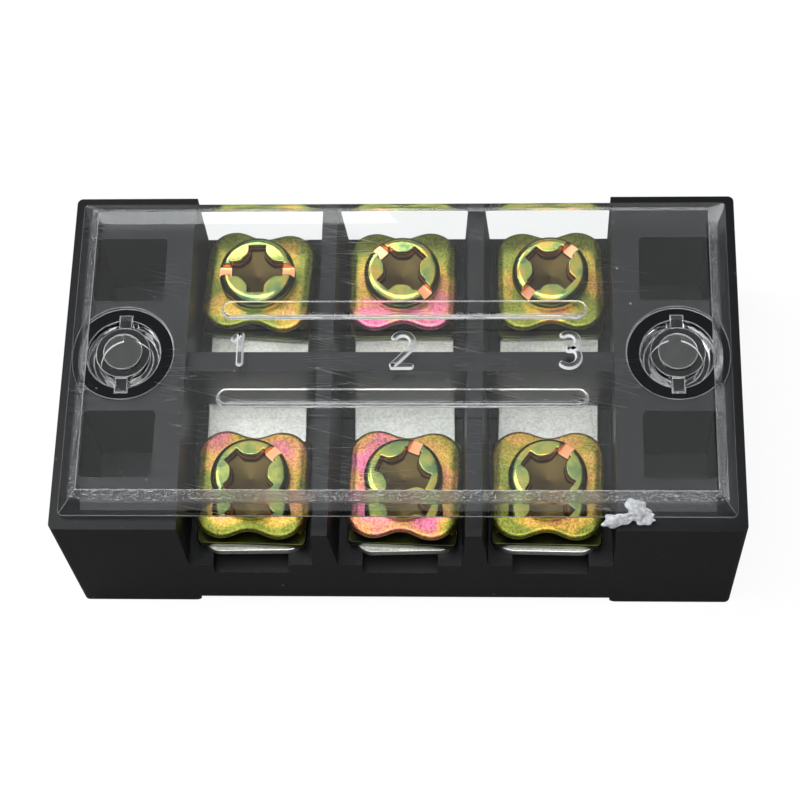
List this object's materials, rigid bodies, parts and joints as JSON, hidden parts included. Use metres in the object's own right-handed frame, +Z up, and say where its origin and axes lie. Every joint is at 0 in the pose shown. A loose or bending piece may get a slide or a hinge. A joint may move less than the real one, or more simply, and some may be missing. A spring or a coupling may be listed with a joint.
{
  "type": "barrier terminal strip",
  "caption": "Barrier terminal strip: black moulded base with fins between rows of screw clamps on plated link bars, under a clear push-on cover held by split bosses.",
  "frame": {"origin": "middle of the footprint, on the plane that the feet stand on", "axes": "+X along the strip, +Y across it to the far wire side, +Z up"},
  "size_m": [0.057, 0.0308, 0.0199],
  "materials": {
    "base": "semi-gloss black thermoset moulding",
    "cover": "clear moulding with raised ribs and fine scratches",
    "link_bar": "dull tin plate with a fine grain",
    "clamp_plate": "yellow zinc plate",
    "saddle_washer": "iridescent yellow zinc plate",
    "terminal_screw": "greenish yellow zinc plate"
  },
  "bodies": {
    "housing": {"base": "base", "link_bar_1": "link_bar", "link_bar_2": "link_bar", "link_bar_3": "link_bar"},
    "cover": {"cover": "cover"},
    "clamp_far_1": {"clamp_plate_far_1": "clamp_plate", "saddle_washer_far_1": "saddle_washer"},
    "screw_far_1": {"terminal_screw_far_1": "terminal_screw"},
    "clamp_far_2": {"clamp_plate_far_2": "clamp_plate", "saddle_washer_far_2": "saddle_washer"},
    "screw_far_2": {"terminal_screw_far_2": "terminal_screw"},
    "clamp_far_3": {"clamp_plate_far_3": "clamp_plate", "saddle_washer_far_3": "saddle_washer"},
    "screw_far_3": {"terminal_screw_far_3": "terminal_screw"},
    "clamp_near_1": {"clamp_plate_near_1": "clamp_plate", "saddle_washer_near_1": "saddle_washer"},
    "screw_near_1": {"terminal_screw_near_1": "terminal_screw"},
    "clamp_near_2": {"clamp_plate_near_2": "clamp_plate", "saddle_washer_near_2": "saddle_washer"},
    "screw_near_2": {"terminal_screw_near_2": "terminal_screw"},
    "clamp_near_3": {"clamp_plate_near_3": "clamp_plate", "saddle_washer_near_3": "saddle_washer"},
    "screw_near_3": {"terminal_screw_near_3": "terminal_screw"}
  },
  "joints": [
    {"name": "cover_lift", "type": "slide", "parent": "housing", "child": "cover", "axis": [0, 0, 1], "range_m": [0, 0.015]},
    {"name": "clamp_rise_far_1", "type": "slide", "parent": "housing", "child": "clamp_far_1", "axis": [0, 0, 1], "range_m": [0, 0.0023]},
    {"name": "screw_turn_far_1", "type": "hinge", "parent": "clamp_far_1", "child": "screw_far_1", "pos_m": [-0.01275, 0.00955, 0.0127], "axis": [0, 0, 1], "range_deg": [0, 1183]},
    {"name": "clamp_rise_far_2", "type": "slide", "parent": "housing", "child": "clamp_far_2", "axis": [0, 0, 1], "range_m": [0, 0.0023]},
    {"name": "screw_turn_far_2", "type": "hinge", "parent": "clamp_far_2", "child": "screw_far_2", "pos_m": [-0.0001, 0.00955, 0.0127], "axis": [0, 0, 1], "range_deg": [0, 1183]},
    {"name": "clamp_rise_far_3", "type": "slide", "parent": "housing", "child": "clamp_far_3", "axis": [0, 0, 1], "range_m": [0, 0.0023]},
    {"name": "screw_turn_far_3", "type": "hinge", "parent": "clamp_far_3", "child": "screw_far_3", "pos_m": [0.01277, 0.00955, 0.0127], "axis": [0, 0, 1], "range_deg": [0, 1183]},
    {"name": "clamp_rise_near_1", "type": "slide", "parent": "housing", "child": "clamp_near_1", "axis": [0, 0, 1], "range_m": [0, 0.0023]},
    {"name": "screw_turn_near_1", "type": "hinge", "parent": "clamp_near_1", "child": "screw_near_1", "pos_m": [-0.01245, -0.00955, 0.0127], "axis": [0, 0, 1], "range_deg": [0, 1183]},
    {"name": "clamp_rise_near_2", "type": "slide", "parent": "housing", "child": "clamp_near_2", "axis": [0, 0, 1], "range_m": [0, 0.0023]},
    {"name": "screw_turn_near_2", "type": "hinge", "parent": "clamp_near_2", "child": "screw_near_2", "pos_m": [0.0004, -0.00955, 0.0127], "axis": [0, 0, 1], "range_deg": [0, 1183]},
    {"name": "clamp_rise_near_3", "type": "slide", "parent": "housing", "child": "clamp_near_3", "axis": [0, 0, 1], "range_m": [0, 0.0023]},
    {"name": "screw_turn_near_3", "type": "hinge", "parent": "clamp_near_3", "child": "screw_near_3", "pos_m": [0.01243, -0.00955, 0.0127], "axis": [0, 0, 1], "range_deg": [0, 1183]}
  ],
  "couplings": [
    {"joint": "screw_turn_far_1", "follows": "clamp_rise_far_1", "rad_per_m": 8976},
    {"joint": "screw_turn_far_2", "follows": "clamp_rise_far_2", "rad_per_m": 8976},
    {"joint": "screw_turn_far_3", "follows": "clamp_rise_far_3", "rad_per_m": 8976},
    {"joint": "screw_turn_near_1", "follows": "clamp_rise_near_1", "rad_per_m": 8976},
    {"joint": "screw_turn_near_2", "follows": "clamp_rise_near_2", "rad_per_m": 8976},
    {"joint": "screw_turn_near_3", "follows": "clamp_rise_near_3", "rad_per_m": 8976}
  ]
}
